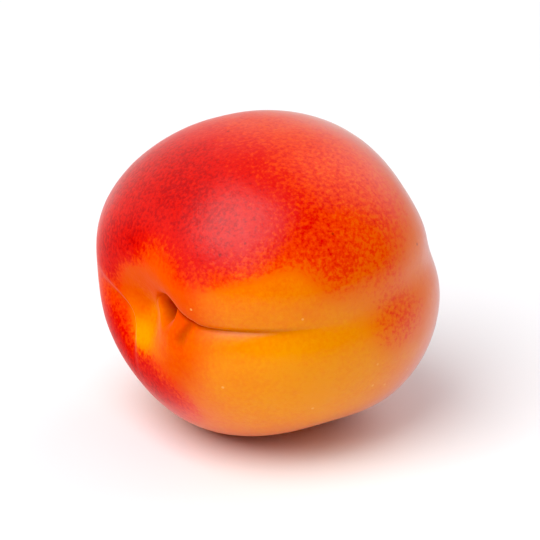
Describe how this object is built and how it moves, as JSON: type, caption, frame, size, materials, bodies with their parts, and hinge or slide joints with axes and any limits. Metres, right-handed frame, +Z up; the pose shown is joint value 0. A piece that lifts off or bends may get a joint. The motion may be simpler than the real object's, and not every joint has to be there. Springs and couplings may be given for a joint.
{
  "type": "apricot",
  "caption": "Whole ripe apricot lying on its cheek, with a stem hollow, a suture crease from stem to tip, and a short woody stem stub.",
  "frame": {"origin": "on the surface that the fruit rests on, under the middle of its bounding box", "axes": "+Z up, away from the flat spot; -X towards the stem end; -Y towards the suture, the crease that faces the viewer"},
  "size_m": [0.0466, 0.0506, 0.0465],
  "materials": {
    "fruit_skin": "soft velvety skin, golden orange with a deep red blush over the upper cheek",
    "stem_wood": "dry rough bark with a paler broken end"
  },
  "bodies": {
    "root": {"fruit": "fruit_skin", "stem_stub": "stem_wood"}
  },
  "joints": []
}
